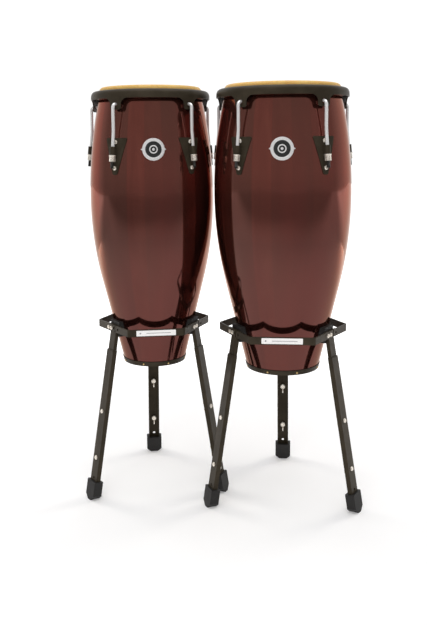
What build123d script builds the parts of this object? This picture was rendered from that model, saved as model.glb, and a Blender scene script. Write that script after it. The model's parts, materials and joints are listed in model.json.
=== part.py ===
"""A pair of conga drums, each lifted into its own three-legged stand.

Units are millimetres, +Z is up, and the floor is z = 0.  The origin is on the floor, in the
middle of the pair.  A drum is modelled with its base at z = 0 and its front towards -Y, and
a stand with its feet on z = 0 and its front towards -Y; both are then turned and moved into
place.  Every sub-part is written to its own file in parts/.
"""
from build123d import *
import os
from math import atan, cos, radians, sin, sqrt, tan

# ---------------------------------------------------------------- the two drums
# centre        where the drum stands on the floor
# yaw           how far drum and stand are turned from facing -Y, degrees
# base_r        outside radius of the shell at its base
# belly_z       height of its widest place above its base, and
# belly_r       the radius there
# mouth_r       radius at the top, before the edge is rounded
# rim_r         outside radius of the tuning rim
# hook_r        radius of the straight middle of the tuning hooks
# free_side     length of the frame's sides with no leg, one of which is the front
# leg_side      length of the frame's sides that carry a leg
SIDES = {
    "left": dict(
        centre=(-173.4, 21.0), yaw=6.5,
        base_r=79.5, belly_z=430.0, belly_r=159.4, mouth_r=126.5,
        rim_r=151.9, hook_r=161.0, free_side=139.0, leg_side=154.0,
    ),
    "right": dict(
        centre=(160.0, -54.0), yaw=-5.5,
        base_r=90.5, belly_z=445.0, belly_r=171.3, mouth_r=139.5,
        rim_r=164.3, hook_r=172.0, free_side=155.0, leg_side=171.0,
    ),
}

# ---------------------------------------------------------------- drum sizes
DRUM_BASE_Z = 333.4        # height of the drum's base above the floor
HEAD_TOP = 711.0           # top of the skin above the drum's base
SKIN = 1.8                 # thickness of the skin
SKIN_GAP = 0.4             # clearance between skin and shell
SHELL_TOP = HEAD_TOP - SKIN - SKIN_GAP
STAVE = 11.0               # wall thickness of the shell
FLARE = 0.25               # slope of the straight lower part of the shell
BEARING_RADIUS = 7.0       # round-over of the shell's upper outside edge

HOOP_HEIGHT = 12.0         # steel hoop around the shell's base
HOOP_THICKNESS = 1.5
NAIL_COUNT = 8
NAIL_R = 1.0
NAIL_HEAD_R = 2.4
NAIL_HEAD = 1.3
NAIL_LENGTH = 8.0

RIM_TOP = 701.0            # rolled top of the tuning rim
RIM_EDGE = 685.0           # where the rim's round top turns into its upright wall
RIM_BAND = 679.0           # lower edge of the rim between its ears
RIM_EAR = 651.0            # lower edge of the ears
RIM_WINDOW_CORNER = 16.0   # upper corners of the openings between the ears
RIM_EAR_TOE = 6.0          # rounding of the ears' lower corners
RIM_CUT_FROM = 50.0        # from the axis: where the window cuts start
RIM_WALL = 3.0
RIM_LIP_Z = 694.8          # underside of the lip that presses on the flesh hoop
COLLAR_Z = 684.0           # where the skin's collar turns out under the flesh hoop
FLESH_HOOP_R = 4.5         # half the thickness of the flesh hoop

LUGS = 5
LUG_AZIMUTHS = [270 + 36 + k * 360 / LUGS for k in range(LUGS)]
HOOK_HOLE_Z = 664.0        # hole in the ear that a hook's end goes through
HOOK_HOLE_R = 5.5
HOOK_ROD_R = 4.0
HOOK_KNEE_Z = 600.0        # below this height the hook leans outwards
HOOK_LEAN = 6.0            # degrees
HOOK_END_Z = 510.0         # lower, threaded end of the hook
HOOK_END_INSET = 7.0       # how far the hook's end reaches in past the ear
HOOK_TURN_R = 9.0

PLATE = 2.0                # thickness of a lug's back plate
PLATE_TOP = 583.0
PLATE_TIP = 494.0
PLATE_HALF_TOP = 31.0
PLATE_HALF_TIP = 6.0
BOSS_TOP = 562.0
BOSS_BOTTOM = 542.0
BOSS_R = 7.0
BOSS_BORE_R = 5.2
RIB_HALF = 5.0
NUT_TOP = 541.4
NUT_FLANGE_R = 8.5
NUT_FLANGE = 3.0
NUT_BOTTOM = 526.0
NUT_HEX_ACROSS = 13.0      # across the flats
BOLT_HEIGHTS = (573.0, 510.0)
BOLT_R = 3.0
BOLT_HOLE_R = 3.2
BOLT_HEAD_R = 5.0
BOLT_HEAD = 3.5
BOLT_SOCKET = 4.0          # across the flats of the key socket
BOLT_TIP = 9.0             # how far a bolt stands out inside the shell
WASHER_R = 9.0
WASHER = 1.5
INNER_NUT_ACROSS = 10.0
INNER_NUT = 5.0

BADGE_Z = 555.0
BADGE_R = 27.0
BADGE_POINT = 31.0         # half width across the two side points
BADGE_THICKNESS = 1.6
BADGE_FACE_R = 19.5        # sunk round face
BADGE_FACE_DEPTH = 0.8

# ---------------------------------------------------------------- stand sizes
FRAME_TOP = 442.0
FRAME_BAR = 18.0           # height of the frame's flat steel
FRAME_BOTTOM = FRAME_TOP - FRAME_BAR
STRAP = 3.5                # thickness of a strap
STRAP_BEND = 7.0
STRAP_START = 12.0         # a strap is welded on this far past the middle of a leg side
STRAP_END = 8.0            # and the strap before it ends this far past the middle
STRAP_BOLTS = (-20.0, -6.0)
STRAP_HOLES = (2.0, 24.0)
FRAME_HOLE_R = 3.0
BRACKET = 3.0              # thickness of a leg bracket
BRACKET_HALF = 30.0
TONGUE_HALF = 10.0
TONGUE_LENGTH = 44.0

LEG_AZIMUTHS = {"front_left": 210, "front_right": 330, "rear": 90}
SPLAY = 9.7                # degrees that a leg leans out
CHANNEL = 1.8              # steel of the leg channels
CHANNEL_GAP = 0.3          # clearance between the two channels of a leg
LOWER_WIDTH = 30.0
LEG_DEPTH = 12.0
LOWER_TOP = 383.0          # along the leg, from the floor
UPPER_FOOT = 68.0          # lower end of the upper channel, along the leg
SLOT_TOP = 246.0           # upper end of the slot that the clamp bolts run in
SLOT_HALF = 3.5
CLAMPS = (105.0, 224.0)    # clamp bolts, along the leg
CLAMP_R = 3.0
CLAMP_HEAD_R = 5.5
CLAMP_HEAD = 3.0
SIGHT_HOLE = 54.0          # open hole above the foot, along the leg
SIGHT_HOLE_R = 3.4
WING_HUB_R = 6.0
WING_HUB = 6.0
WING_SPAN = 13.0
WING_REACH = 16.0
WING = 2.6
WING_ROOT = 5.0            # half the wing's width where it leaves the hub
WING_TIP = 7.0             # width of the wing's end
WING_CLEARANCE = 0.4       # between the hub and the inner channel
CLAMP_END = 3.0            # of the bolt showing past its nut

FOOT_HALF = 21.0
FOOT_DEPTH = 24.0
FOOT_TOP = 46.0
FOOT_SHOULDER = 11.0       # where the foot starts to narrow
FOOT_TOE_HALF = 8.0
FOOT_SOLE = 10.0           # rubber under the end of the leg

PAD_HALF = 21.0
PAD_TOP = 451.0
PAD_BOTTOM = 413.0
PAD_GAP = 0.35             # clearance between pad and shell

FAR = 400.0                # longer than anything that a tool body has to cut through


# ---------------------------------------------------------------- helpers
def turned(shape, azimuth):
    """Turn a shape that was made facing +X so that it faces an azimuth."""
    return Rot(0, 0, azimuth) * shape


def rod(radius, start, end):
    """A round bar along X, from start to end."""
    return Pos(start, 0, 0) * Rot(0, 90, 0) * Cylinder(
        radius, end - start, align=(Align.CENTER, Align.CENTER, Align.MIN))


def block(x0, x1, y0, y1, z0, z1):
    return Pos(x0, y0, z0) * Box(x1 - x0, y1 - y0, z1 - z0, align=Align.MIN)


def hexagon_bar(across, start, end):
    """A hexagonal bar along X, from start to end."""
    outline = Plane.YZ.offset(start) * RegularPolygon(across / 2, 6, major_radius=False)
    return extrude(outline, end - start)


def shell_arcs(side):
    """Height where the straight flare ends, and the radii of the arcs below and above the belly."""
    lean = atan(FLARE)
    drop = tan(lean / 2)
    start = (side["belly_r"] - side["base_r"] - side["belly_z"] * drop) / (FLARE - drop)
    rise = SHELL_TOP - side["belly_z"]
    upper_turn = 2 * atan((side["belly_r"] - side["mouth_r"]) / rise)
    return start, (side["belly_z"] - start) / sin(lean), rise / sin(upper_turn)


def shell_radius(side, height):
    """Radius of the shell's outside at a height above its base."""
    start, lower_arc, upper_arc = shell_arcs(side)
    if height < start:
        return side["base_r"] + FLARE * height
    arc = lower_arc if height < side["belly_z"] else upper_arc
    return side["belly_r"] - arc + sqrt(arc**2 - (height - side["belly_z"]) ** 2)


def shell_curve(side, grow=0.0):
    """Outside of the shell from base to mouth: a straight flare and two arcs, all tangent."""
    start = shell_arcs(side)[0]
    belly = side["belly_z"]

    def at(height):
        return shell_radius(side, height) + grow, height

    curve = Line(at(0), at(start)) + ThreePointArc(at(start), at((start + belly) / 2), at(belly))
    return curve + ThreePointArc(at(belly), at((belly + SHELL_TOP) / 2), at(SHELL_TOP))


def filled_shell(side, grow=0.0):
    """The solid that the shell's outside encloses, grown outwards, with its seam at the back."""
    curve = shell_curve(side, grow)
    rest = Polyline(curve @ 1, (0, SHELL_TOP), (0, 0), curve @ 0)
    return turned(revolve(Plane.XZ * make_face(curve + rest), Axis.Z), 190)


def hook_axis(side, height):
    """Radius of a tuning hook's rod at a height."""
    return side["hook_r"] + max(0.0, HOOK_KNEE_Z - height) * tan(radians(HOOK_LEAN))


def on_hook(side, height):
    """A place on a hook's lower rod, with its z along the rod, for a lug that faces +X."""
    return Pos(hook_axis(side, height), 0, height) * Rot(0, -HOOK_LEAN, 0)


def group(shapes):
    """The solids of several shapes, kept apart in one group."""
    return Compound([solid for shape in shapes for solid in shape.solids()])


def around(shape, azimuths):
    """The same shape at several azimuths, kept apart in one group."""
    return group(turned(shape, azimuth) for azimuth in azimuths)


# ---------------------------------------------------------------- drum
def make_shell(side):
    outside = shell_curve(side)
    inside = shell_curve(side, -STAVE)
    wall = make_face(outside + inside + Line(outside @ 0, inside @ 0) + Line(outside @ 1, inside @ 1))
    shell = turned(revolve(Plane.XZ * wall, Axis.Z), 190)
    rims = shell.edges().filter_by(GeomType.CIRCLE).group_by(Axis.Z)[-1].sort_by(SortBy.RADIUS)
    shell = fillet(rims[-1], BEARING_RADIUS)
    for height in BOLT_HEIGHTS:
        radius = shell_radius(side, height)
        hole = Pos(0, 0, height) * rod(BOLT_HOLE_R, radius - 2 * STAVE, radius + STAVE)
        shell -= around(hole, LUG_AZIMUTHS)
    return shell - nail_holes(side)


def nail_azimuths():
    return [(k + 0.5) * 360 / NAIL_COUNT for k in range(NAIL_COUNT)]


def nail_holes(side):
    radius = shell_radius(side, HOOP_HEIGHT / 2)
    hole = rod(NAIL_R, radius + HOOP_THICKNESS - NAIL_LENGTH, radius + STAVE)
    return around(Pos(0, 0, HOOP_HEIGHT / 2) * hole, nail_azimuths())


def make_bottom_hoop(side):
    hoop = filled_shell(side, HOOP_THICKNESS) - filled_shell(side)
    hoop &= block(-FAR, FAR, -FAR, FAR, 0, HOOP_HEIGHT)
    return hoop - nail_holes(side)


def make_hoop_nails(side):
    surface = shell_radius(side, HOOP_HEIGHT / 2) + HOOP_THICKNESS + 0.6
    nail = rod(NAIL_R - 0.05, surface - NAIL_LENGTH, surface)
    head = rod(NAIL_HEAD_R, surface, surface + NAIL_HEAD)
    nail += fillet(head.edges().filter_by(GeomType.CIRCLE).group_by(Axis.X)[-1], 0.9 * NAIL_HEAD)
    return around(Pos(0, 0, HOOP_HEIGHT / 2) * nail, nail_azimuths())


def collar_radii(side):
    """Inside radius of the skin under the bearing edge and at the foot of its collar."""
    return (shell_radius(side, SHELL_TOP - BEARING_RADIUS) + SKIN_GAP,
            shell_radius(side, COLLAR_Z) + SKIN_GAP)


def flesh_hoop_centre(side):
    return collar_radii(side)[1] + SKIN + FLESH_HOOP_R + 0.3


def make_head_skin(side):
    """A flat skin that turns over the bearing edge, down a collar and out under its hoop."""
    edge, foot = collar_radii(side)
    under = HEAD_TOP - SKIN
    crown = BEARING_RADIUS + SKIN_GAP
    flange = flesh_hoop_centre(side) + 2
    inside = Line((0, under), (edge - crown, under)) + quarter_turn(edge - crown, under - crown, crown)
    inside += Line((edge, under - crown), (foot, COLLAR_Z))
    outside = Polyline((foot, COLLAR_Z), (foot, COLLAR_Z - SKIN), (flange, COLLAR_Z - SKIN),
                       (flange, COLLAR_Z), (foot + SKIN, COLLAR_Z), (edge + SKIN, under - crown))
    outside += quarter_turn(edge - crown, under - crown, crown + SKIN)
    outside += Polyline((edge - crown, HEAD_TOP), (0, HEAD_TOP), (0, under))
    return revolve(Plane.XZ * make_face(inside + outside), Axis.Z)


def quarter_turn(x, z, radius):
    """The quarter of a circle above and right of its centre."""
    middle = radius * sqrt(0.5)
    return ThreePointArc((x, z + radius), (x + middle, z + middle), (x + radius, z))


def make_flesh_hoop(side):
    section = Pos(flesh_hoop_centre(side), COLLAR_Z + FLESH_HOOP_R + 0.3) * Circle(FLESH_HOOP_R)
    return revolve(Plane.XZ * section, Axis.Z)


def make_rim(side):
    """A rolled steel rim with five ears, each with a hole for a hook."""
    outer = side["rim_r"]
    lip = flesh_hoop_centre(side) - FLESH_HOOP_R + 1.5
    over = Spline((lip, RIM_TOP), (outer, RIM_EDGE), tangents=[(1, 0), (0, -1)])
    under = Spline((outer - RIM_WALL, RIM_EDGE), (lip + RIM_WALL, RIM_TOP - RIM_WALL),
                   tangents=[(0, 1), (-1, 0)])
    wall = Polyline((outer, RIM_EDGE), (outer, RIM_EAR), (outer - RIM_WALL, RIM_EAR),
                    (outer - RIM_WALL, RIM_EDGE))
    inner_lip = Polyline((lip + RIM_WALL, RIM_TOP - RIM_WALL), (lip + RIM_WALL, RIM_LIP_Z),
                         (lip, RIM_LIP_Z), (lip, RIM_TOP))
    rim = revolve(Plane.XZ * make_face(over + wall + under + inner_lip), Axis.Z)
    half = outer * sin(radians(30))
    window = rim_window(half)
    for azimuth in LUG_AZIMUTHS:
        rim -= turned(window, azimuth + 180 / LUGS)
        rim -= turned(Pos(0, 0, HOOK_HOLE_Z) * rod(HOOK_HOLE_R, 50, FAR), azimuth)
    return rim


def rim_window(half):
    """The space between two ears, round at its upper corners, with the ears' corners rounded."""
    corner, toe = RIM_WINDOW_CORNER, RIM_EAR_TOE
    low = RIM_EAR - 10
    cut = 1 - sqrt(0.5)
    edge = Polyline((-half - toe, RIM_EAR), (-half - toe, low), (half + toe, low), (half + toe, RIM_EAR))
    edge += ThreePointArc((half + toe, RIM_EAR), (half + toe * cut, RIM_EAR + toe * cut),
                          (half, RIM_EAR + toe))
    edge += Line((half, RIM_EAR + toe), (half, RIM_BAND - corner))
    edge += ThreePointArc((half, RIM_BAND - corner), (half - corner * cut, RIM_BAND - corner * cut),
                          (half - corner, RIM_BAND))
    edge += Line((half - corner, RIM_BAND), (corner - half, RIM_BAND))
    edge += ThreePointArc((corner - half, RIM_BAND), (corner * cut - half, RIM_BAND - corner * cut),
                          (-half, RIM_BAND - corner))
    edge += Line((-half, RIM_BAND - corner), (-half, RIM_EAR + toe))
    edge += ThreePointArc((-half, RIM_EAR + toe), (-half - toe * cut, RIM_EAR + toe * cut),
                          (-half - toe, RIM_EAR))
    return extrude(Plane.YZ.offset(RIM_CUT_FROM) * make_face(edge), FAR)


def make_tuning_hooks(side):
    ear = side["rim_r"] - RIM_WALL
    path = FilletPolyline((hook_axis(side, HOOK_END_Z), 0, HOOK_END_Z), (side["hook_r"], 0, HOOK_KNEE_Z),
                          (side["hook_r"], 0, HOOK_HOLE_Z), (ear - HOOK_END_INSET, 0, HOOK_HOLE_Z),
                          radius=[60.0, HOOK_TURN_R])
    section = on_hook(side, HOOK_END_Z) * Circle(HOOK_ROD_R)
    return around(sweep(section, path=path), LUG_AZIMUTHS)


def make_lug_brackets(side):
    """A back plate that fits the shell, and a rib that carries the hook's boss."""
    plate = extrude(Plane.YZ.offset(50) * make_face(Polyline(
        (-PLATE_HALF_TOP, PLATE_TOP), (PLATE_HALF_TOP, PLATE_TOP), (PLATE_HALF_TIP, PLATE_TIP),
        (-PLATE_HALF_TIP, PLATE_TIP), close=True)), FAR)
    corners = plate.edges().filter_by(Axis.X)
    plate = fillet(corners.group_by(Axis.Z)[-1], 3.0)
    plate = fillet(plate.edges().filter_by(Axis.X).group_by(Axis.Z)[0], 5.0)
    plate &= filled_shell(side, PLATE)
    rib = block(50, hook_axis(side, BOSS_TOP), -RIB_HALF, RIB_HALF, BOSS_BOTTOM, BOSS_TOP)
    boss = on_hook(side, BOSS_BOTTOM) * Cylinder(BOSS_R, BOSS_TOP - BOSS_BOTTOM,
                                                 align=(Align.CENTER, Align.CENTER, Align.MIN))
    bore = on_hook(side, BOSS_BOTTOM - 5) * Cylinder(BOSS_BORE_R, 40,
                                                     align=(Align.CENTER, Align.CENTER, Align.MIN))
    lug = plate + rib + boss - filled_shell(side) - bore
    for height in BOLT_HEIGHTS:
        lug -= Pos(0, 0, height) * rod(BOLT_HOLE_R, 50, FAR)
    return around(lug, LUG_AZIMUTHS)


def make_bracket_bolts(side):
    bolts = []
    for height in BOLT_HEIGHTS:
        face = shell_radius(side, height) + PLATE + 0.6
        bolt = rod(BOLT_R, face - PLATE - STAVE - BOLT_TIP, face)
        head = rod(BOLT_HEAD_R, face, face + BOLT_HEAD)
        head = chamfer(head.edges().filter_by(GeomType.CIRCLE).group_by(Axis.X)[-1], 1.5)
        bolt += head
        bolt -= hexagon_bar(BOLT_SOCKET, face + 1.2, face + BOLT_HEAD + 1)
        bolts.append(Pos(0, 0, height) * bolt)
    return group(turned(bolt, azimuth) for azimuth in LUG_AZIMUTHS for bolt in bolts)


def make_bracket_nuts(side):
    nuts = []
    for height in BOLT_HEIGHTS:
        wall = shell_radius(side, height) - STAVE - 1.8
        nut = rod(WASHER_R, wall - WASHER, wall) + hexagon_bar(INNER_NUT_ACROSS, wall - WASHER - INNER_NUT,
                                                              wall - WASHER)
        nut -= rod(BOLT_HOLE_R, 50, FAR)
        nuts.append(Pos(0, 0, height) * nut)
    return group(turned(nut, azimuth) for azimuth in LUG_AZIMUTHS for nut in nuts)


def make_tuning_nut(side, azimuth):
    """A flanged hexagonal nut, on the hook's threaded end under the boss."""
    bottom, top = NUT_BOTTOM - NUT_TOP, 0.0
    nut = Cylinder(NUT_FLANGE_R, NUT_FLANGE, align=(Align.CENTER, Align.CENTER, Align.MAX))
    nut = chamfer(nut.edges().filter_by(GeomType.CIRCLE).group_by(Axis.Z)[0], 1.4)
    across = extrude(Plane.XY.offset(bottom) * RegularPolygon(NUT_HEX_ACROSS / 2, 6, major_radius=False),
                     top - bottom - NUT_FLANGE / 2)
    nut += across
    nut -= Cylinder(BOSS_BORE_R, 60)
    return turned(on_hook(side, NUT_TOP) * nut, azimuth)


def make_badge(side):
    """A round plate with a point at each side and a sunk face, fitted to the shell."""
    disc = Circle(BADGE_R)
    width = BADGE_POINT
    points = make_face(Polyline((-width, 0), (0, width * 0.62), (width, 0), (0, -width * 0.62), close=True))
    outline = Plane.YZ.offset(50) * Pos(0, BADGE_Z) * (disc + points)
    badge = extrude(outline, FAR) & filled_shell(side, BADGE_THICKNESS)
    sunk = Pos(0, 0, BADGE_Z) * rod(BADGE_FACE_R, 50, FAR)
    badge -= sunk - filled_shell(side, BADGE_THICKNESS - BADGE_FACE_DEPTH)
    return turned(badge - filled_shell(side), 270)


# ---------------------------------------------------------------- stand
def apothems(side):
    """Distance from the middle of the frame to a free side and to a leg side."""
    free, leg = side["free_side"], side["leg_side"]
    return sqrt(3) / 6 * (free + 2 * leg), sqrt(3) / 6 * (leg + 2 * free)


def corner(azimuth_a, distance_a, azimuth_b, distance_b):
    """Where two sides of the frame meet, each given by its azimuth and its distance."""
    a, b = radians(azimuth_a), radians(azimuth_b)
    turn = sin(b - a)
    return ((distance_a * sin(b) - distance_b * sin(a)) / turn,
            (distance_b * cos(a) - distance_a * cos(b)) / turn)


def along_side(azimuth, distance, along):
    """A point on a side, a distance along it in the sense of growing azimuth."""
    a = radians(azimuth)
    return distance * cos(a) - along * sin(a), distance * sin(a) + along * cos(a)


def make_side_straps(side):
    """Each strap starts at one leg, is bent round two corners and ends over the next leg."""
    free, leg = (distance - STRAP / 2 for distance in apothems(side))
    path = FilletPolyline(
        along_side(210, leg, STRAP_START), corner(210, leg, 270, free), corner(270, free, 330, leg),
        along_side(330, leg, STRAP_END), radius=STRAP_BEND)
    strap = extrude(Pos(0, 0, FRAME_BOTTOM) * trace(path, STRAP), FRAME_BAR)
    middle = (FRAME_TOP + FRAME_BOTTOM) / 2
    for leg_azimuth, places in ((330, [*STRAP_BOLTS, STRAP_HOLES[0]]), (210, [STRAP_HOLES[1]])):
        for place in places:
            strap -= turned(Pos(0, place, middle) * rod(FRAME_HOLE_R + 0.2, 50, FAR), leg_azimuth)
    return around(strap, (0, 120, 240))


def leg_frame(side):
    """A plane at a leg's foot, its z along the leg and its x outwards, for a leg that faces +X."""
    lean = radians(SPLAY)
    face = LEG_DEPTH / 2 - CHANNEL - CHANNEL_GAP
    top_face = apothems(side)[1] - 0.5
    foot = top_face - face * cos(lean) + FRAME_BOTTOM * tan(lean)
    return Plane(origin=(foot, 0, 0), x_dir=(cos(lean), 0, sin(lean)), z_dir=(-sin(lean), 0, cos(lean)))


def make_leg_brackets(side):
    """A plate inside the straps and a tongue that is welded into the leg's upper channel."""
    outer = apothems(side)[1] - STRAP
    plate = block(outer - BRACKET, outer, -BRACKET_HALF, BRACKET_HALF, FRAME_BOTTOM, FRAME_TOP)
    web = LEG_DEPTH / 2 - 2 * CHANNEL - CHANNEL_GAP
    top = FRAME_BOTTOM / cos(radians(SPLAY))
    tongue = leg_frame(side) * block(web - BRACKET, web, -TONGUE_HALF, TONGUE_HALF, top - TONGUE_LENGTH, top)
    tongue -= block(outer, FAR, -FAR, FAR, FRAME_BOTTOM - 0.4, FRAME_TOP)
    knee = block(outer - BRACKET, outer + 1, -TONGUE_HALF, TONGUE_HALF, FRAME_BOTTOM - 3, FRAME_BOTTOM + 3)
    knee &= block(-FAR, outer, -FAR, FAR, 0, FRAME_TOP)
    bracket = plate + knee + tongue
    for place in STRAP_BOLTS:
        bracket -= Pos(0, place, (FRAME_TOP + FRAME_BOTTOM) / 2) * rod(FRAME_HOLE_R + 0.2, 50, FAR)
    return around(bracket, LEG_AZIMUTHS.values())


def channel(width, back, low, high):
    """A steel channel along a leg, open inwards, with its back's outer face at x = back."""
    half = width / 2
    outside = block(-LEG_DEPTH / 2, back, -half, half, low, high)
    return outside - block(-LEG_DEPTH, back - CHANNEL, CHANNEL - half, half - CHANNEL, low - 1, high + 1)


def make_upper_legs(side):
    width = LOWER_WIDTH - 2 * (CHANNEL + CHANNEL_GAP)
    back = LEG_DEPTH / 2 - CHANNEL - CHANNEL_GAP
    leg = channel(width, back, UPPER_FOOT, FRAME_TOP)
    leg -= block(0, FAR, -SLOT_HALF, SLOT_HALF, 0, SLOT_TOP)
    leg = leg_frame(side) * leg
    leg -= block(-FAR, FAR, -FAR, FAR, FRAME_BOTTOM - 0.4, FRAME_TOP + 50)
    return around(leg, LEG_AZIMUTHS.values())


def make_lower_leg(side, azimuth):
    leg = channel(LOWER_WIDTH, LEG_DEPTH / 2, FOOT_SOLE, LOWER_TOP)
    for place in (*CLAMPS, SIGHT_HOLE):
        leg -= Pos(0, 0, place) * rod(SIGHT_HOLE_R, 0, 20)
    return turned(leg_frame(side) * leg, azimuth)


def make_clamp_fasteners(side, azimuth):
    """Two clamp bolts through a leg, each with a wing nut on the leg's open side."""
    pieces = []
    back = LEG_DEPTH / 2
    web = back - 2 * CHANNEL - CHANNEL_GAP - WING_CLEARANCE
    for place in CLAMPS:
        bolt = rod(CLAMP_R, web - WING_HUB - CLAMP_END, back) + rod(CLAMP_HEAD_R, back, back + CLAMP_HEAD)
        bolt = fillet(bolt.edges().filter_by(GeomType.CIRCLE).group_by(Axis.X)[-1], 2.0)
        nut = rod(WING_HUB_R, web - WING_HUB, web)
        for up in (-1, 1):
            wing = make_face(Polyline((web - 2, 0), (web - 2, up * WING_ROOT),
                                      (web - WING_REACH, up * WING_SPAN),
                                      (web - WING_REACH, up * (WING_SPAN - WING_TIP)), (web - WING_HUB, 0),
                                      close=True))
            nut += extrude(Plane.XZ.offset(-WING / 2) * wing, WING)
        nut -= rod(CLAMP_R, -FAR, FAR)
        pieces += [Pos(0, 0, place) * bolt, Pos(0, 0, place) * nut]
    return group(turned(leg_frame(side) * piece, azimuth) for piece in pieces)


def make_foot(side, azimuth):
    """A rubber boot on the end of a leg, pointed in front view, cut level with the floor."""
    depth = FOOT_DEPTH / 2
    front = make_face(Polyline(
        (-FOOT_HALF, FOOT_TOP), (FOOT_HALF, FOOT_TOP), (FOOT_HALF, FOOT_SHOULDER), (FOOT_TOE_HALF, 0),
        (FOOT_TOE_HALF, -5), (-FOOT_TOE_HALF, -5), (-FOOT_TOE_HALF, 0), (-FOOT_HALF, FOOT_SHOULDER),
        close=True))
    boot = extrude(Plane.YZ.offset(-depth) * front, FOOT_DEPTH)
    boot = fillet(boot.edges().filter_by(Axis.Z), 2.5)
    half = LOWER_WIDTH / 2
    boot -= block(-LEG_DEPTH / 2, LEG_DEPTH / 2, -half, half, FOOT_SOLE, FOOT_TOP + 1)
    boot = leg_frame(side) * boot
    boot -= block(-FAR, FAR, -FAR, FAR, -50, 0)
    return turned(boot, azimuth)


def make_frame_bolts(side):
    """Bolts that hold the end of each strap to the next leg's bracket, with their nuts."""
    outer = apothems(side)[1]
    inner = outer - STRAP - BRACKET
    middle = (FRAME_TOP + FRAME_BOTTOM) / 2
    bolts = []
    for place in STRAP_BOLTS:
        bolt = rod(FRAME_HOLE_R, inner - 7, outer) + rod(BOLT_HEAD_R, outer, outer + BOLT_HEAD)
        bolt = chamfer(bolt.edges().filter_by(GeomType.CIRCLE).group_by(Axis.X)[-1], 1.2)
        bolt -= hexagon_bar(BOLT_SOCKET, outer + 1.2, outer + BOLT_HEAD + 1)
        nut = hexagon_bar(INNER_NUT_ACROSS, inner - INNER_NUT, inner) - rod(FRAME_HOLE_R, 0, FAR)
        bolts += [Pos(0, place, middle) * bolt, Pos(0, place, middle) * nut]
    return group(turned(bolt, azimuth) for azimuth in LEG_AZIMUTHS.values() for bolt in bolts)


def make_rubber_pads(side):
    """Pads between the leg brackets and the shell, hollowed for the bolts' inner ends."""
    inner = apothems(side)[1] - STRAP - BRACKET
    pad = block(50, inner, -PAD_HALF, PAD_HALF, PAD_BOTTOM, PAD_TOP)
    pad -= Pos(0, 0, DRUM_BASE_Z) * filled_shell(side, PAD_GAP)
    middle = (FRAME_TOP + FRAME_BOTTOM) / 2
    for place in STRAP_BOLTS:
        pad -= Pos(0, place, middle) * rod(INNER_NUT_ACROSS / 2 + 1.5, inner - 8, FAR)
    upright = leg_frame(side) * block(-LEG_DEPTH, FAR, -16, 16, 0, FRAME_TOP)
    pad -= upright & block(-FAR, FAR, -FAR, FAR, 0, FRAME_BOTTOM)
    return around(pad, LEG_AZIMUTHS.values())


# ---------------------------------------------------------------- the pair
DRUM_PARTS = {
    "shell": make_shell,
    "bottom_hoop": make_bottom_hoop,
    "hoop_nails": make_hoop_nails,
    "head_skin": make_head_skin,
    "flesh_hoop": make_flesh_hoop,
    "rim": make_rim,
    "tuning_hooks": make_tuning_hooks,
    "lug_brackets": make_lug_brackets,
    "bracket_bolts": make_bracket_bolts,
    "bracket_nuts": make_bracket_nuts,
    "badge": make_badge,
}
STAND_PARTS = {
    "side_straps": make_side_straps,
    "leg_brackets": make_leg_brackets,
    "upper_legs": make_upper_legs,
    "rubber_pads": make_rubber_pads,
    "frame_bolts": make_frame_bolts,
}
LEG_PARTS = {
    "lower_leg": make_lower_leg,
    "foot": make_foot,
    "clamp_fasteners": make_clamp_fasteners,
}


def build_pair():
    """Every node of the pair, by name, in place."""
    nodes = {}
    for name, side in SIDES.items():
        on_floor = Pos(*side["centre"], 0) * Rot(0, 0, side["yaw"])
        in_stand = on_floor * Pos(0, 0, DRUM_BASE_Z)
        for part, make in DRUM_PARTS.items():
            nodes[f"{name}_{part}"] = in_stand * make(side)
        for number, azimuth in enumerate(LUG_AZIMUTHS, 1):
            nodes[f"{name}_tuning_nut_{number}"] = in_stand * make_tuning_nut(side, azimuth)
        for part, make in STAND_PARTS.items():
            nodes[f"{name}_{part}"] = on_floor * make(side)
        for leg, azimuth in LEG_AZIMUTHS.items():
            for part, make in LEG_PARTS.items():
                nodes[f"{name}_{leg}_{part}"] = on_floor * make(side, azimuth)
    return nodes


nodes = build_pair()
os.makedirs("parts", exist_ok=True)
for node, shape in nodes.items():
    export_step(shape, f"parts/{node}.step")
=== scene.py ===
"""A pair of lacquered conga drums, each in its own adjustable steel stand.

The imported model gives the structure. This script gives it its materials, and adds the turned
shells, skins, badges, labels and threads. Units are metres, +Z is up.
"""
import json
from functools import cache
from math import atan, atan2, cos, pi, radians, sin, sqrt, tan

import bpy
from mathutils import Matrix, Vector


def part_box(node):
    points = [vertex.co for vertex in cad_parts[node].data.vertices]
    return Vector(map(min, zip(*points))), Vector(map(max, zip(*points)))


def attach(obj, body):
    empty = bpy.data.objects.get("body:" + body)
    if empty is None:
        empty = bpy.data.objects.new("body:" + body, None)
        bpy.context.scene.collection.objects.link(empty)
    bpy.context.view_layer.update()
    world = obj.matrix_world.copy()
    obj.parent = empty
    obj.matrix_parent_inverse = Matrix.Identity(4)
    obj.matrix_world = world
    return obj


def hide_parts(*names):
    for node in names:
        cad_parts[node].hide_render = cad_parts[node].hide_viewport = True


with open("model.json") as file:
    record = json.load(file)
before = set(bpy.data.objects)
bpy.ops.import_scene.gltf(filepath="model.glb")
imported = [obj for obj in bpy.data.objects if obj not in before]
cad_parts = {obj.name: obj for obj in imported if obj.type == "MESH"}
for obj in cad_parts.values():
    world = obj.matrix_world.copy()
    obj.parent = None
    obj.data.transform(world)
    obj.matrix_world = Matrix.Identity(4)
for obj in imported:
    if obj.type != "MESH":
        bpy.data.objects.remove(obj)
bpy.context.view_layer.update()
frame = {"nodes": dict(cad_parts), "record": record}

MM = 0.001
SIDES = ("left", "right")
LUGS = 5
LUG_AZIMUTH = 36           # of the first lug, from the badge, in degrees
HOOK_ROD_R = 4 * MM
HOOK_KNEE_R = {"left": 161 * MM, "right": 172 * MM}
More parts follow.
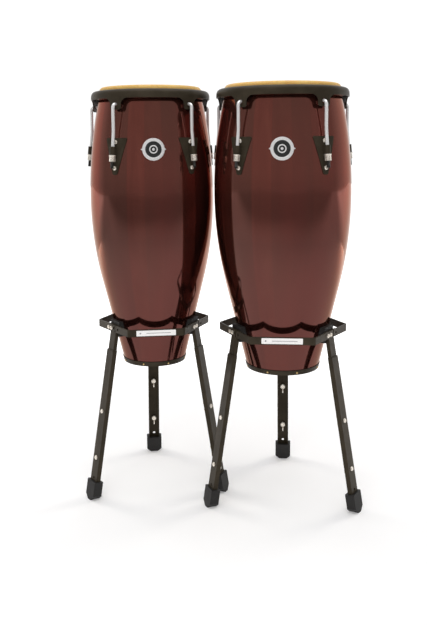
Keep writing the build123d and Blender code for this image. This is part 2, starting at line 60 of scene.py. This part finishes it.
HOOK_KNEE_Z = 600 * MM     # above the drum's base: below this the hook leans outwards
HOOK_LEAN = radians(6)
THREAD_FROM = 511.5 * MM
THREAD_TO = 525.5 * MM
THREAD_PITCH = 1.75 * MM
FOOT_ROUND = 1.2 * MM      # bevel at the shell's lower edge
INNER_BEVEL = 1.5 * MM     # bevel at the inside of the bearing edge
SKIN = 1.8 * MM
SKIN_GAP = 0.4 * MM        # between the skin and the shell
SKIN_EDGE = 0.6 * MM       # rounding of the skin's flange
BADGE_POINT = 31 / 27      # reach of the badge's side points, over its radius
BADGE_POINT_SLOPE = 0.62   # how steeply the points run back into the ring
LABEL_SIZE = (98 * MM, 14 * MM, 0.35 * MM)
LABEL_LIFT = 0.05 * MM     # air between the frame and the label
PRINT = 0.12 * MM          # thickness of what is printed on the label

# Outside of the two shells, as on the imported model: straight flare, then two tangent arcs.
SHELLS = {
    "left": dict(base_r=79.5 * MM, belly_z=430 * MM, belly_r=159.4 * MM, mouth_r=126.5 * MM),
    "right": dict(base_r=90.5 * MM, belly_z=445 * MM, belly_r=171.3 * MM, mouth_r=139.5 * MM),
}
FLARE = 0.25
STAVE = 11 * MM
BEARING_R = 7 * MM
THREAD_TOP = 873 * MM      # above the floor: below this the tuning hooks are threaded


# ---------------------------------------------------------------- node helpers
class Shader:
    """A Principled material and short ways to add the nodes that feed it."""

    def __init__(self, name, **sockets):
        self.material = bpy.data.materials.new(name)
        self.material.use_nodes = True
        self.tree = self.material.node_tree
        self.bsdf = self.tree.nodes["Principled BSDF"]
        for socket, value in sockets.items():
            self.set(socket, value)

    def input(self, socket):
        return self.bsdf.inputs[socket.replace("_", " ")]

    def set(self, socket, value):
        if isinstance(value, bpy.types.NodeSocket):
            self.tree.links.new(value, self.input(socket))
        else:
            self.input(socket).default_value = value

    def node(self, kind, inputs=(), **settings):
        node = self.tree.nodes.new(kind)
        for key, value in settings.items():
            setattr(node, key, value)
        for key, value in dict(inputs).items():
            if isinstance(value, bpy.types.NodeSocket):
                self.tree.links.new(value, node.inputs[key])
            else:
                node.inputs[key].default_value = value
        return node

    def place(self, scale=(1, 1, 1)):
        """Object coordinates, stretched."""
        coordinates = self.node("ShaderNodeTexCoord").outputs["Object"]
        return self.node("ShaderNodeMapping", {"Vector": coordinates, "Scale": scale}).outputs[0]

    def noise(self, scale, detail=3.0, rough=0.5, vector=None, distortion=0.0):
        vector = vector or self.place()
        node = self.node("ShaderNodeTexNoise", {"Vector": vector, "Scale": scale, "Detail": detail,
                                                "Roughness": rough, "Distortion": distortion})
        return node.outputs[0]

    def ramp(self, factor, stops):
        node = self.node("ShaderNodeValToRGB", {"Fac": factor})
        elements = node.color_ramp.elements
        while len(elements) < len(stops):
            elements.new(0.5)
        for element, (position, colour) in zip(elements, stops):
            element.position = position
            element.color = (*colour, 1) if len(colour) == 3 else colour
        return node.outputs[0]

    def range(self, value, low, high, out_low, out_high):
        return self.node("ShaderNodeMapRange", {"Value": value, "From Min": low, "From Max": high,
                                                "To Min": out_low, "To Max": out_high}).outputs[0]

    def math(self, operation, a, b=0.0):
        node = self.node("ShaderNodeMath", operation=operation)
        for socket, value in zip(node.inputs, (a, b)):
            if isinstance(value, bpy.types.NodeSocket):
                self.tree.links.new(value, socket)
            else:
                socket.default_value = value
        return node.outputs[0]

    def mix(self, factor, a, b, blend="MIX"):
        node = self.node("ShaderNodeMix", data_type="RGBA", blend_type=blend)
        for socket, value in ((node.inputs[0], factor), (node.inputs[6], a), (node.inputs[7], b)):
            if isinstance(value, bpy.types.NodeSocket):
                self.tree.links.new(value, socket)
            elif hasattr(value, "__len__"):
                socket.default_value = (*value, 1)
            else:
                socket.default_value = value
        return node.outputs[2]

    def bump(self, height, depth, strength=1.0, under=None):
        inputs = {"Height": height, "Distance": depth, "Strength": strength}
        if under:
            inputs["Normal"] = under
        return self.node("ShaderNodeBump", inputs).outputs[0]


def split(shader, vector):
    return shader.node("ShaderNodeSeparateXYZ", {"Vector": vector}).outputs


# ---------------------------------------------------------------- materials
def lacquered_staves():
    """Wine-red staves as a tinted, mostly metallic gloss under a thin clear coat.

    Below the belly the colour is darkened: painted shade, set against the light that the pale floor throws
    up there.
    """
    m = Shader("lacquered_staves", Roughness=0.10, Metallic=0.90, Coat_Weight=0.30, Coat_Roughness=0.03)
    m.set("Specular_Tint", (0.72, 0.52, 0.42, 1))
    x, y, z = split(m, m.place())
    angle = m.math("ARCTAN2", y, x)
    staves = 22
    turn = m.math("MULTIPLY", m.math("ADD", angle, pi), staves / (2 * pi))
    number = m.math("FLOOR", turn)
    tint = m.node("ShaderNodeTexWhiteNoise", {"W": number}, noise_dimensions="1D").outputs["Value"]
    grain = m.noise(34.0, 5.0, 0.6, m.place((1, 1, 0.035)), 0.4)
    pores = m.noise(150.0, 3.0, 0.6, m.place((1, 1, 0.03)))
    cloud = m.noise(5.0, 2.0, 0.5, m.place((1, 1, 0.4)))
    base = m.ramp(grain, [(0.30, (0.250, 0.0700, 0.0520)), (0.52, (0.285, 0.0820, 0.0610)),
                          (0.72, (0.320, 0.0960, 0.0700))])
    stave = m.mix(m.math("MULTIPLY", tint, 0.75), base, (0.180, 0.0740, 0.0560))
    warm = m.mix(m.range(cloud, 0.38, 0.62, 0.0, 0.60), stave, (0.330, 0.0660, 0.0560))
    # Painted shade: the colour darkens from 0.5 m above the base down to 0.33 m, below the belly.
    flare_painted_shade = m.mix(m.range(z, 0.50, 0.33, 0.0, 0.70), warm, (0.046, 0.0170, 0.0135))
    dark = m.mix(m.range(pores, 0.62, 0.8, 0.0, 0.22), flare_painted_shade, (0.150, 0.0450, 0.0340))
    edge = m.math("ABSOLUTE", m.math("SUBTRACT", m.math("FRACT", turn), 0.5))
    joint = m.range(edge, 0.485, 0.5, 0.0, 0.45)
    m.set("Base_Color", m.mix(joint, dark, (0.140, 0.0420, 0.0320)))
    flow = m.noise(9.0, 2.0, 0.5, m.place((1, 1, 0.35)))
    m.set("Coat_Normal", m.bump(m.math("ADD", flow, m.math("MULTIPLY", edge, -0.25)), 0.0012, 0.25))
    m.set("Normal", m.bump(flow, 0.0010, 0.20))
    return m.material


def raw_oak():
    m = Shader("raw_oak", Roughness=0.75)
    grain = m.noise(45.0, 6.0, 0.65, m.place((1, 1, 0.06)), 0.6)
    m.set("Base_Color", m.ramp(grain, [(0.3, (0.22, 0.115, 0.050)), (0.7, (0.42, 0.250, 0.125))]))
    m.set("Normal", m.bump(grain, 0.0006, 0.6))
    return m.material


def powder_coat():
    """Black powder coat: a fine orange-peel skin that greys where light rakes it."""
    m = Shader("powder_coat", Metallic=0.0)
    m.set("Specular_IOR_Level", 0.16)
    m.set("Specular_Tint", (1.0, 0.86, 0.72, 1))
    cloud = m.noise(22.0, 3.0, 0.55)
    peel = m.noise(900.0, 2.0, 0.5)
    dust = m.noise(160.0, 4.0, 0.7)
    colour = m.ramp(cloud, [(0.35, (0.0280, 0.0225, 0.0150)), (0.70, (0.0440, 0.0355, 0.0240))])
    m.set("Base_Color", m.mix(m.range(dust, 0.60, 0.85, 0.0, 0.25), colour, (0.066, 0.058, 0.046)))
    m.set("Roughness", m.range(dust, 0.3, 0.8, 0.36, 0.50))
    m.set("Normal", m.bump(peel, 0.00012, 0.5))
    return m.material


def chrome():
    """Bright plating, dark where the rod is threaded; partly non-metallic so it stays bright."""
    m = Shader("chrome", Metallic=0.55)
    smear = m.noise(40.0, 3.0, 0.6)
    m.set("Roughness", m.range(smear, 0.3, 0.8, 0.14, 0.24))
    plated = m.mix(m.range(smear, 0.5, 0.9, 0.0, 0.4), (0.98, 0.98, 0.985), (0.88, 0.87, 0.86))
    height = split(m, m.place())[2]
    m.set("Base_Color", m.mix(m.range(height, THREAD_TOP, THREAD_TOP - 2 * MM, 0.0, 1.0), plated,
                              (0.030, 0.028, 0.026)))
    return m.material


def nickel():
    """Plated fasteners, slightly warm and brushed by handling."""
    m = Shader("nickel", Metallic=0.60)
    rub = m.noise(260.0, 4.0, 0.65)
    tarnish = m.noise(55.0, 3.0, 0.55)
    m.set("Base_Color", m.mix(m.range(tarnish, 0.4, 0.75, 0.0, 1.0), (0.95, 0.89, 0.80), (0.76, 0.69, 0.60)))
    m.set("Roughness", m.range(rub, 0.3, 0.75, 0.20, 0.38))
    m.set("Normal", m.bump(rub, 0.00008, 0.4))
    return m.material


def plain_steel():
    m = Shader("plain_steel", Metallic=1.0)
    rust = m.noise(70.0, 5.0, 0.65)
    m.set("Base_Color", m.mix(m.range(rust, 0.5, 0.75, 0.0, 0.7), (0.50, 0.49, 0.48), (0.20, 0.13, 0.09)))
    m.set("Roughness", m.range(rust, 0.3, 0.75, 0.30, 0.65))
    return m.material


def brass():
    m = Shader("brass", Metallic=1.0)
    tone = m.noise(120.0, 3.0, 0.6)
    m.set("Base_Color", m.mix(tone, (0.80, 0.58, 0.26), (0.50, 0.33, 0.14)))
    m.set("Roughness", m.range(tone, 0.3, 0.7, 0.25, 0.45))
    return m.material


def rubber():
    m = Shader("rubber")
    m.set("Specular_IOR_Level", 0.35)
    bloom = m.noise(30.0, 4.0, 0.6)
    grit = m.noise(1200.0, 2.0, 0.5)
    m.set("Base_Color", m.ramp(bloom, [(0.35, (0.0105, 0.0095, 0.0090)), (0.75, (0.0240, 0.0225, 0.0215))]))
    m.set("Roughness", m.range(bloom, 0.3, 0.75, 0.52, 0.72))
    m.set("Normal", m.bump(grit, 0.00015, 0.5))
    return m.material


def rawhide():
    """Amber skin, clouded and faintly veined, a little translucent; painted dark brown towards its hoop, as
    painted shade under the rim.
    """
    m = Shader("rawhide", Subsurface_Weight=0.25, Subsurface_Scale=0.004)
    m.set("Specular_IOR_Level", 0.35)
    m.input("Subsurface_Radius").default_value = (1.0, 0.45, 0.15)
    cloud = m.noise(11.0, 5.0, 0.6, None, 0.6)
    veins = m.noise(38.0, 6.0, 0.7, None, 1.6)
    fibre = m.noise(420.0, 3.0, 0.6)
    base = m.ramp(cloud, [(0.30, (0.58, 0.330, 0.085)), (0.55, (0.70, 0.445, 0.130)),
                          (0.78, (0.80, 0.570, 0.220))])
    line = m.math("ABSOLUTE", m.math("SUBTRACT", veins, 0.5))
    veined = m.mix(m.range(line, 0.0, 0.035, 0.30, 0.0), base, (0.36, 0.170, 0.040))
    height = split(m, m.place())[2]
    # Painted shade: below 0.690–0.704 m above the base, where the skin runs down under the rim, it turns
    # dark brown.
    m.set("Base_Color", m.mix(m.range(height, 0.690, 0.704, 1.0, 0.0), veined, (0.075, 0.036, 0.014)))
    m.set("Roughness", m.range(cloud, 0.3, 0.8, 0.42, 0.58))
    m.set("Normal", m.bump(fibre, 0.0002, 0.5, m.bump(veins, 0.0006, 0.4)))
    return m.material


def painted_shade_hide():
    """Skin wrapped round its hoop, coloured near-black brown: painted shade under the rim."""
    m = Shader("painted_shade_hide", Roughness=0.8)
    cloud = m.noise(40.0, 4.0, 0.6)
    m.set("Base_Color", m.ramp(cloud, [(0.35, (0.040, 0.022, 0.010)), (0.75, (0.090, 0.048, 0.020))]))
    return m.material


def bright_metal():
    m = Shader("badge_metal", Metallic=0.35)
    brushed = m.noise(500.0, 3.0, 0.6, m.place((1, 1, 6)))
    m.set("Base_Color", m.mix(brushed, (0.80, 0.80, 0.81), (0.68, 0.68, 0.69)))
    m.set("Roughness", m.range(brushed, 0.3, 0.7, 0.24, 0.36))
    return m.material


def black_enamel():
    m = Shader("black_enamel", Coat_Weight=0.6, Coat_Roughness=0.08)
    speck = m.noise(300.0, 3.0, 0.6)
    m.set("Base_Color", m.ramp(speck, [(0.4, (0.006, 0.007, 0.008)), (0.8, (0.014, 0.015, 0.017))]))
    m.set("Roughness", m.range(speck, 0.3, 0.7, 0.30, 0.42))
    return m.material


def label_film():
    """A blank white label with one faint printed rule."""
    m = Shader("label_film")
    fleck = m.noise(80.0, 4.0, 0.6)
    m.set("Base_Color", m.ramp(fleck, [(0.35, (0.93, 0.93, 0.92)), (0.75, (0.97, 0.97, 0.97))]))
    m.set("Roughness", m.range(fleck, 0.3, 0.7, 0.36, 0.48))
    m.set("Normal", m.bump(fleck, 0.00005, 0.3))
    return m.material


def printed_grey():
    m = Shader("printed_grey", Roughness=0.5)
    fleck = m.noise(400.0, 3.0, 0.6)
    m.set("Base_Color", m.ramp(fleck, [(0.35, (0.34, 0.34, 0.36)), (0.75, (0.46, 0.46, 0.48))]))
    return m.material


def threaded_steel():
    m = Shader("threaded_steel", Metallic=1.0)
    oil = m.noise(90.0, 4.0, 0.6)
    m.set("Base_Color", m.mix(oil, (0.26, 0.25, 0.24), (0.10, 0.095, 0.09)))
    m.set("Roughness", m.range(oil, 0.3, 0.7, 0.30, 0.5))
    return m.material


MATERIALS = {
    "lacquered_wood": lacquered_staves(), "black_powder_coat": powder_coat(), "chrome": chrome(),
    "nickel": nickel(), "rawhide": rawhide(), "steel": plain_steel(), "brass": brass(),
    "rubber": rubber(), "badge_metal": bright_metal(),
}
RAW_OAK, ENAMEL, LABEL, RULE = raw_oak(), black_enamel(), label_film(), printed_grey()
THREAD, PAINTED_SHADE_HIDE = threaded_steel(), painted_shade_hide()


# ---------------------------------------------------------------- mesh helpers
def make_object(name, vertices, faces, materials, smooth=True):
    mesh = bpy.data.meshes.new(name)
    mesh.from_pydata([tuple(v) for v in vertices], [], faces)
    for material in materials:
        mesh.materials.append(material)
    mesh.validate()
    mesh.polygons.foreach_set("use_smooth", [smooth] * len(mesh.polygons))
    mesh.update()
    piece = bpy.data.objects.new(name, mesh)
    bpy.context.scene.collection.objects.link(piece)
    return piece


def turned(name, outline, materials, steps=192, closed=True, sharp=30):
    """A closed outline of (radius, height, material index of the wall up to the next point), turned."""
    vertices, faces, indices = [], [], []
    count = len(outline)
    rings = []
    for radius, height, _ in outline:
        if radius < 1e-7:
            rings.append([len(vertices)])
            vertices.append((0, 0, height))
            continue
        rings.append(list(range(len(vertices), len(vertices) + steps)))
        vertices += [(radius * cos(2 * pi * k / steps), radius * sin(2 * pi * k / steps), height)
                     for k in range(steps)]
    for i in range(count if closed else count - 1):
        low, high = rings[i], rings[(i + 1) % count]
        if len(low) == 1 and len(high) == 1:
            continue
        for k in range(steps):
            n = (k + 1) % steps
            if len(low) == 1:
                faces.append((low[0], high[n], high[k]))
            elif len(high) == 1:
                faces.append((low[k], low[n], high[0]))
            else:
                faces.append((low[k], low[n], high[n], high[k]))
            indices.append(outline[i][2])
    piece = make_object(name, vertices, faces, materials)
    piece.data.polygons.foreach_set("material_index", indices)
    piece.data.set_sharp_from_angle(angle=radians(sharp))
    return piece


def arc(cx, cz, radius, start, end, steps):
    """Points of an arc in (radius, height), angles in degrees from outwards."""
    return [(cx + radius * cos(radians(start + (end - start) * k / steps)),
             cz + radius * sin(radians(start + (end - start) * k / steps))) for k in range(steps + 1)]


# ---------------------------------------------------------------- where things are
@cache
def drum_place(side):
    """Axis and base of a drum, its height and the azimuth that its badge faces."""
    low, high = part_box(f"{side}_shell")
    centre = Vector(((low[0] + high[0]) / 2, (low[1] + high[1]) / 2, low[2]))
    badge_low, badge_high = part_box(f"{side}_badge")
    facing = atan2((badge_low[1] + badge_high[1]) / 2 - centre.y,
                   (badge_low[0] + badge_high[0]) / 2 - centre.x)
    return centre, high[2] - low[2], facing


def shell_radius(side, height):
    """Radius of the shell's outside at a height above its base."""
    shell = SHELLS[side]
    total = drum_place(side)[1]
    lean = atan(FLARE)
    drop = tan(lean / 2)
    start = (shell["belly_r"] - shell["base_r"] - shell["belly_z"] * drop) / (FLARE - drop)
    if height < start:
        return shell["base_r"] + FLARE * height
    rise = total - shell["belly_z"]
    lower = (shell["belly_z"] - start) / sin(lean)
    upper = rise / sin(2 * atan((shell["belly_r"] - shell["mouth_r"]) / rise))
    bend = lower if height < shell["belly_z"] else upper
    return shell["belly_r"] - bend + sqrt(bend**2 - (height - shell["belly_z"]) ** 2)


def stand_at(piece, side, body):
    centre, _, facing = drum_place(side)
    piece.location = centre
    piece.rotation_euler = (0, 0, facing + pi / 2)
    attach(piece, body)


# ---------------------------------------------------------------- drum pieces
def make_shell(side):
    """The staved shell: lacquered outside and edges, raw oak inside."""
    total = drum_place(side)[1]
    steps = 72
    start = FOOT_ROUND
    outside = [(shell_radius(side, 0) - FOOT_ROUND, 0.0, 0)]
    edge = BEARING_R
    for k in range(steps + 1):
        height = start + (total - edge - start) * k / steps
        outside.append((shell_radius(side, height), height, 0))
    centre_r = shell_radius(side, total - edge) - edge
    outside += [(r, z, 0) for r, z in arc(centre_r, total - edge, edge, 15, 90, 8)]
    inner_top = shell_radius(side, total) - STAVE
    outside += [(inner_top + INNER_BEVEL, total, 1), (inner_top, total - INNER_BEVEL, 1)]
    for k in range(1, steps):
        height = total * (1 - k / steps)
        outside.append((shell_radius(side, height) - STAVE, height, 1))
    outside.append((shell_radius(side, 0) - STAVE, 0.0, 1))
    shell = turned(f"{side}_lacquered_shell", outside, [MATERIALS["lacquered_wood"], RAW_OAK], 256)
    stand_at(shell, side, f"{side}_drum")
    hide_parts(f"{side}_shell")


def make_skin(side):
    """The skin, pulled over the bearing edge and round its hoop, in one turned piece."""
    low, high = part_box(f"{side}_head_skin")
    base = drum_place(side)[0].z
    top, foot = high[2] - base, low[2] - base
    skin, gap = SKIN, SKIN_GAP
    total = top - skin - gap
    flange = (high[0] - low[0]) / 2
    upper = shell_radius(side, total - BEARING_R) + gap
    collar = shell_radius(side, foot + skin) + gap
    crown = BEARING_R + gap
    knee = top - skin - crown
    outline = [(0, top, 0)]
    outline += [((upper - crown) * k / 6, top, 0) for k in range(1, 6)]
    outline += [(r, z, 0) for r, z in arc(upper - crown, knee, crown + skin, 90, 0, 10)]
    outline += [(collar + skin, foot + skin + 1.0 * MM, 0), (collar + skin + 0.5 * MM, foot + skin, 0)]
    outline += [(flange - SKIN_EDGE, foot + skin, 0), (flange, foot + skin / 2, 0),
                (flange - SKIN_EDGE, foot, 0)]
    outline += [(collar, foot, 0)]
    outline += [(r, z, 0) for r, z in arc(upper - crown, knee, crown, 0, 90, 10)]
    outline += [(0, top - skin, 0)]
    piece = turned(f"{side}_rawhide_skin", outline, [MATERIALS["rawhide"]], 256, closed=False)
    stand_at(piece, side, f"{side}_head")
    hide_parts(f"{side}_head_skin")


def on_shell(side, across, height, lift):
    """A point lifted off the front of the shell, in the drum's own frame, front towards -Y."""
    radius = shell_radius(side, height)
    angle = across / radius - pi / 2
    return ((radius + lift) * cos(angle), (radius + lift) * sin(angle), height)


def polar_plate(name, side, height, section, materials, reach=None, steps=96):
    """A round plate on the shell's front; its section is (radius, lift, material) from outside in."""
    vertices, faces, indices = [], [], []
    for radius, lift, _ in section:
        for k in range(steps):
            phi = 2 * pi * k / steps
            spread = reach(phi) if reach and radius > section[0][0] - 1.5 * MM else 1.0
            vertices.append(on_shell(side, radius * spread * cos(phi),
                                     height + radius * spread * sin(phi), lift))
    for i in range(len(section) - 1):
        for k in range(steps):
            n = (k + 1) % steps
            a, b = i * steps, (i + 1) * steps
            faces.append((a + k, a + n, b + n, b + k))
            indices.append(section[i][2])
    faces.append([(len(section) - 1) * steps + k for k in range(steps)])
    indices.append(section[-1][2])
    faces.append(list(reversed(range(steps))))
    indices.append(section[0][2])
    piece = make_object(name, vertices, faces, materials)
    piece.data.polygons.foreach_set("material_index", indices)
    piece.data.set_sharp_from_angle(angle=radians(28))
    return piece


def make_badge(side):
    """A bright ring with two side points round a black face that carries a plain drum-head motif."""
    low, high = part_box(f"{side}_badge")
    base = drum_place(side)[0].z
    height = (low[2] + high[2]) / 2 - base
    outer = (high[2] - low[2]) / 2

    def reach(phi):
        lean = abs(sin(phi))
        return max(1.0, BADGE_POINT / (abs(cos(phi)) + lean / BADGE_POINT_SLOPE))

    metal, black = 0, 1
    section = [(outer, 0.0, metal), (outer, 1.1 * MM, metal), (outer - 0.8 * MM, 1.9 * MM, metal),
               (outer - 3.5 * MM, 2.1 * MM, metal), (20.4 * MM, 1.9 * MM, metal),
               (19.8 * MM, 1.5 * MM, metal),
               (19.5 * MM, 0.9 * MM, black), (14 * MM, 1.0 * MM, black), (4 * MM, 1.1 * MM, black)]
    plate = polar_plate(f"{side}_badge_plate", side, height, section,
                        [MATERIALS["badge_metal"], ENAMEL], reach)
    stand_at(plate, side, f"{side}_drum")
    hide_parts(f"{side}_badge")
    ring = polar_ring(f"{side}_badge_ring", side, height, 7.4 * MM, 10.2 * MM)
    dot = polar_plate(f"{side}_badge_dot", side, height,
                      [(3.2 * MM, 0.6 * MM, 0), (3.2 * MM, 1.5 * MM, 0), (2.4 * MM, 1.9 * MM, 0)],
                      [MATERIALS["badge_metal"]], steps=48)
    for piece in (ring, dot):
        stand_at(piece, side, f"{side}_drum")


def polar_ring(name, side, height, inner, outer, steps=72):
    """A raised ring on the badge's face."""
    section = [(inner, 0.7 * MM), (inner, 1.5 * MM), (inner + 0.4 * MM, 1.75 * MM),
               (outer - 0.4 * MM, 1.75 * MM), (outer, 1.5 * MM), (outer, 0.7 * MM)]
    vertices = [on_shell(side, r * cos(2 * pi * k / steps), height + r * sin(2 * pi * k / steps), lift)
                for r, lift in section for k in range(steps)]
    faces = []
    for i in range(len(section)):
        a, b = i * steps, ((i + 1) % len(section)) * steps
        faces += [(a + k, b + k, b + (k + 1) % steps, a + (k + 1) % steps) for k in range(steps)]
    piece = make_object(name, vertices, faces, [MATERIALS["badge_metal"]])
    piece.data.set_sharp_from_angle(angle=radians(40))
    return piece


def make_threads(side):
    """The rolled thread on the end of each tuning hook, as one helical ridge per hook."""
    centre, _, facing = drum_place(side)
    steps, ridge = 16, 0.3 * MM
    turns = round((THREAD_TO - THREAD_FROM) / THREAD_PITCH)
    profile = ((0.0, 0.0), (0.25, ridge), (0.5, 0.0))
    for k in range(LUGS):
        vertices, faces = [], []
        for i in range(turns * steps + 1):
            angle = 2 * pi * i / steps
            rise = THREAD_FROM + THREAD_PITCH * i / steps
            fade = min(1.0, i / steps, (turns * steps - i) / steps)
            for offset, out in profile:
                radius = HOOK_ROD_R - 0.1 * MM + out * fade
                vertices.append((radius * cos(angle), radius * sin(angle), rise + offset * THREAD_PITCH))
        for i in range(turns * steps):
            a, b = 3 * i, 3 * i + 3
            faces += [(a, b, b + 1, a + 1), (a + 1, b + 1, b + 2, a + 2), (a + 2, b + 2, b, a)]
        last = 3 * turns * steps
        faces += [(0, 1, 2), (last + 2, last + 1, last)]
        thread = make_object(f"{side}_hook_thread_{k + 1}", vertices, faces, [THREAD])
        turn = facing + radians(LUG_AZIMUTH + 360 / LUGS * k)
        lean = Matrix.Rotation(turn, 4, "Z") @ Matrix.Translation((HOOK_KNEE_R[side], 0, HOOK_KNEE_Z))
        thread.matrix_world = (Matrix.Translation(centre) @ lean @ Matrix.Rotation(-HOOK_LEAN, 4, "Y")
                               @ Matrix.Translation((0, 0, -HOOK_KNEE_Z)))
        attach(thread, f"{side}_head")


for side in SIDES:
    make_shell(side)
    make_skin(side)
    make_badge(side)
    make_threads(side)


# ---------------------------------------------------------------- labels
def make_label(side):
    """A blank label on the front of the frame, with one plain rule printed on it."""
    centre, _, facing = drum_place(side)
    low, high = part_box(f"{side}_side_straps")
    width, tall, thick = LABEL_SIZE
    face = front_distance(side)
    middle = (low[2] + high[2]) / 2 - centre.z
    label = rounded_plate(f"{side}_frame_label", width, tall, thick, 1.5 * MM, LABEL)
    rule = rounded_plate(f"{side}_label_rule", width * 0.62, 1.6 * MM, PRINT, 0.5 * MM, RULE)
    mark = rounded_plate(f"{side}_label_mark", 4.2 * MM, 4.2 * MM, PRINT, 2.0 * MM, RULE)
    for piece, along, out in ((label, 0, LABEL_LIFT), (rule, 6 * MM, LABEL_LIFT + thick),
                              (mark, -0.40 * width, LABEL_LIFT + thick)):
        turn = Matrix.Rotation(facing + pi / 2, 3, "Z")
        piece.location = centre + turn @ Vector((along, -face - out, middle))
        piece.rotation_euler = (pi / 2, 0, facing + pi / 2)
        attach(piece, "stands")


def front_distance(side):
    """Distance from the drum's axis to the outer face of the frame's front side."""
    centre, _, facing = drum_place(side)
    out = Vector((cos(facing), sin(facing)))
    straps = frame["nodes"][f"{side}_side_straps"].data.vertices
    return max((Vector(vertex.co[:2]) - centre.to_2d()).dot(out) for vertex in straps)


def rounded_plate(name, width, tall, thick, radius, material, steps=5):
    """A thin plate with round corners, centred on the origin, its face towards +Z."""
    corners = []
    for turn, (sx, sy) in enumerate(((1, 1), (-1, 1), (-1, -1), (1, -1))):
        for k in range(steps + 1):
            angle = radians(90 * turn + 90 * k / steps)
            corners.append((sx * (width / 2 - radius) + radius * cos(angle),
                            sy * (tall / 2 - radius) + radius * sin(angle)))
    count = len(corners)
    vertices = [(x, y, 0) for x, y in corners] + [(x, y, thick) for x, y in corners]
    faces = [tuple(reversed(range(count))), tuple(range(count, 2 * count))]
    faces += [(k, (k + 1) % count, count + (k + 1) % count, count + k) for k in range(count)]
    return make_object(name, vertices, faces, [material], smooth=False)


for side in SIDES:
    make_label(side)

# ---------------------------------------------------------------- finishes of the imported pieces
slots = {entry["node"]: entry["material_slot"] for entry in frame["record"]["subparts"]}
for node, piece in frame["nodes"].items():
    # The flesh hoops get the dark hide: painted shade under the rim.
    material = PAINTED_SHADE_HIDE if node.endswith("flesh_hoop") else MATERIALS[slots[node]]
    if piece.material_slots:
        for slot in piece.material_slots:
            slot.material = material
    else:
        piece.data.materials.append(material)


# ---------------------------------------------------------------- floor, light and camera
def make_floor():
    size = 14.0
    corners = [(-size, -size, 0), (size, -size, 0), (size, size, 0), (-size, size, 0)]
    m = Shader("studio_floor", Roughness=0.9)
    m.set("Specular_IOR_Level", 0.1)
    tone = m.noise(0.8, 2.0, 0.5)
    pale = m.ramp(tone, [(0.3, (0.87, 0.88, 0.90)), (0.7, (0.89, 0.90, 0.915))])
    depth = split(m, m.place())[1]
    # Painted shade: towards the front (-Y) the floor darkens to grey, which dims what the lacquer mirrors.
    m.set("Base_Color", m.mix(m.range(depth, -0.9, -2.8, 0.0, 1.0), pale, (0.50, 0.50, 0.50)))
    # Painted light: the floor glows faintly from 1.2 m in front of the drums backwards, lifting the shadows
    # round the feet, and strongly behind the drums, where it merges into the white backdrop.
    m.set("Emission_Color", (1.0, 1.0, 1.0, 1))
    painted_light_near = m.range(depth, -2.2, -1.2, 0.0, 0.13)
    m.set("Emission_Strength", m.math("ADD", painted_light_near, m.range(depth, 0.6, 1.9, 0.0, 0.87)))
    floor = make_object("floor", corners, [(0, 1, 2, 3)], [m.material], smooth=False)


def make_world():
    """White studio, dimmer behind the viewer so that the lacquer's front stays deep."""
    world = bpy.data.worlds.new("studio")
    bpy.context.scene.world = world
    world.use_nodes = True
    nodes, links = world.node_tree.nodes, world.node_tree.links
    background = nodes["Background"]
    direction = nodes.new("ShaderNodeTexCoord").outputs["Generated"]
    parts = nodes.new("ShaderNodeSeparateXYZ")
    links.new(direction, parts.inputs[0])
    ramp = nodes.new("ShaderNodeValToRGB")
    half = nodes.new("ShaderNodeMapRange")
    half.inputs["From Min"].default_value = -1.0
    links.new(parts.outputs["Y"], half.inputs["Value"])
    links.new(half.outputs[0], ramp.inputs["Fac"])
    dim, bright = ramp.color_ramp.elements
    dim.position, dim.color = 0.52, (0.31, 0.305, 0.30, 1)
    bright.position, bright.color = 0.965, (1.0, 1.0, 1.0, 1)
    links.new(ramp.outputs[0], background.inputs["Color"])
    background.inputs["Strength"].default_value = 1.05


def area_light(name, place, target, size, power, colour=(1, 1, 1), mirrored=True):
    data = bpy.data.lights.new(name, "AREA")
    data.shape = "RECTANGLE"
    data.size, data.size_y = size
    data.energy = power
    data.color = colour
    lamp = bpy.data.objects.new(name, data)
    lamp.location = place
    lamp.rotation_euler = (Vector(target) - Vector(place)).to_track_quat("-Z", "Y").to_euler()
    lamp.visible_glossy = mirrored
    bpy.context.scene.collection.objects.link(lamp)


def make_camera():
    """Eye level a little below the drum heads, looking slightly down from the front."""
    place = Vector((-0.0138, -1.967, 0.9064))
    pitch, roll = radians(5.71), radians(-0.52)
    forward = Vector((0, cos(pitch), -sin(pitch)))
    up = Vector((0, sin(pitch), cos(pitch)))
    right = Vector((1, 0, 0))
    side_axis = cos(roll) * right + sin(roll) * up
    up_axis = -sin(roll) * right + cos(roll) * up
    data = bpy.data.cameras.new("camera")
    data.sensor_width = 36.0
    data.lens = 43.93
    data.shift_y = -0.152
    camera = bpy.data.objects.new("camera", data)
    turn = Matrix((side_axis, up_axis, -forward)).transposed().to_4x4()
    camera.matrix_world = Matrix.Translation(place) @ turn
    bpy.context.scene.collection.objects.link(camera)
    bpy.context.scene.camera = camera


make_floor()
make_world()
area_light("top_softbox", (0.0, -0.2, 2.9), (0, 0, 0.4), (2.6, 2.2), 34)
area_light("left_softbox", (-2.3, 1.5, 1.1), (0, 0, 0.7), (1.0, 2.4), 30, (1.0, 0.93, 0.85), False)
area_light("right_softbox", (2.3, 1.5, 1.1), (0, 0, 0.7), (1.0, 2.4), 34, (1.0, 0.92, 0.84), False)
area_light("front_softbox", (-0.4, -2.8, 1.9), (0, 0, 0.6), (2.2, 1.6), 34, (1.0, 0.97, 0.94), False)
make_camera()
bpy.context.scene.view_settings.view_transform = "Standard"
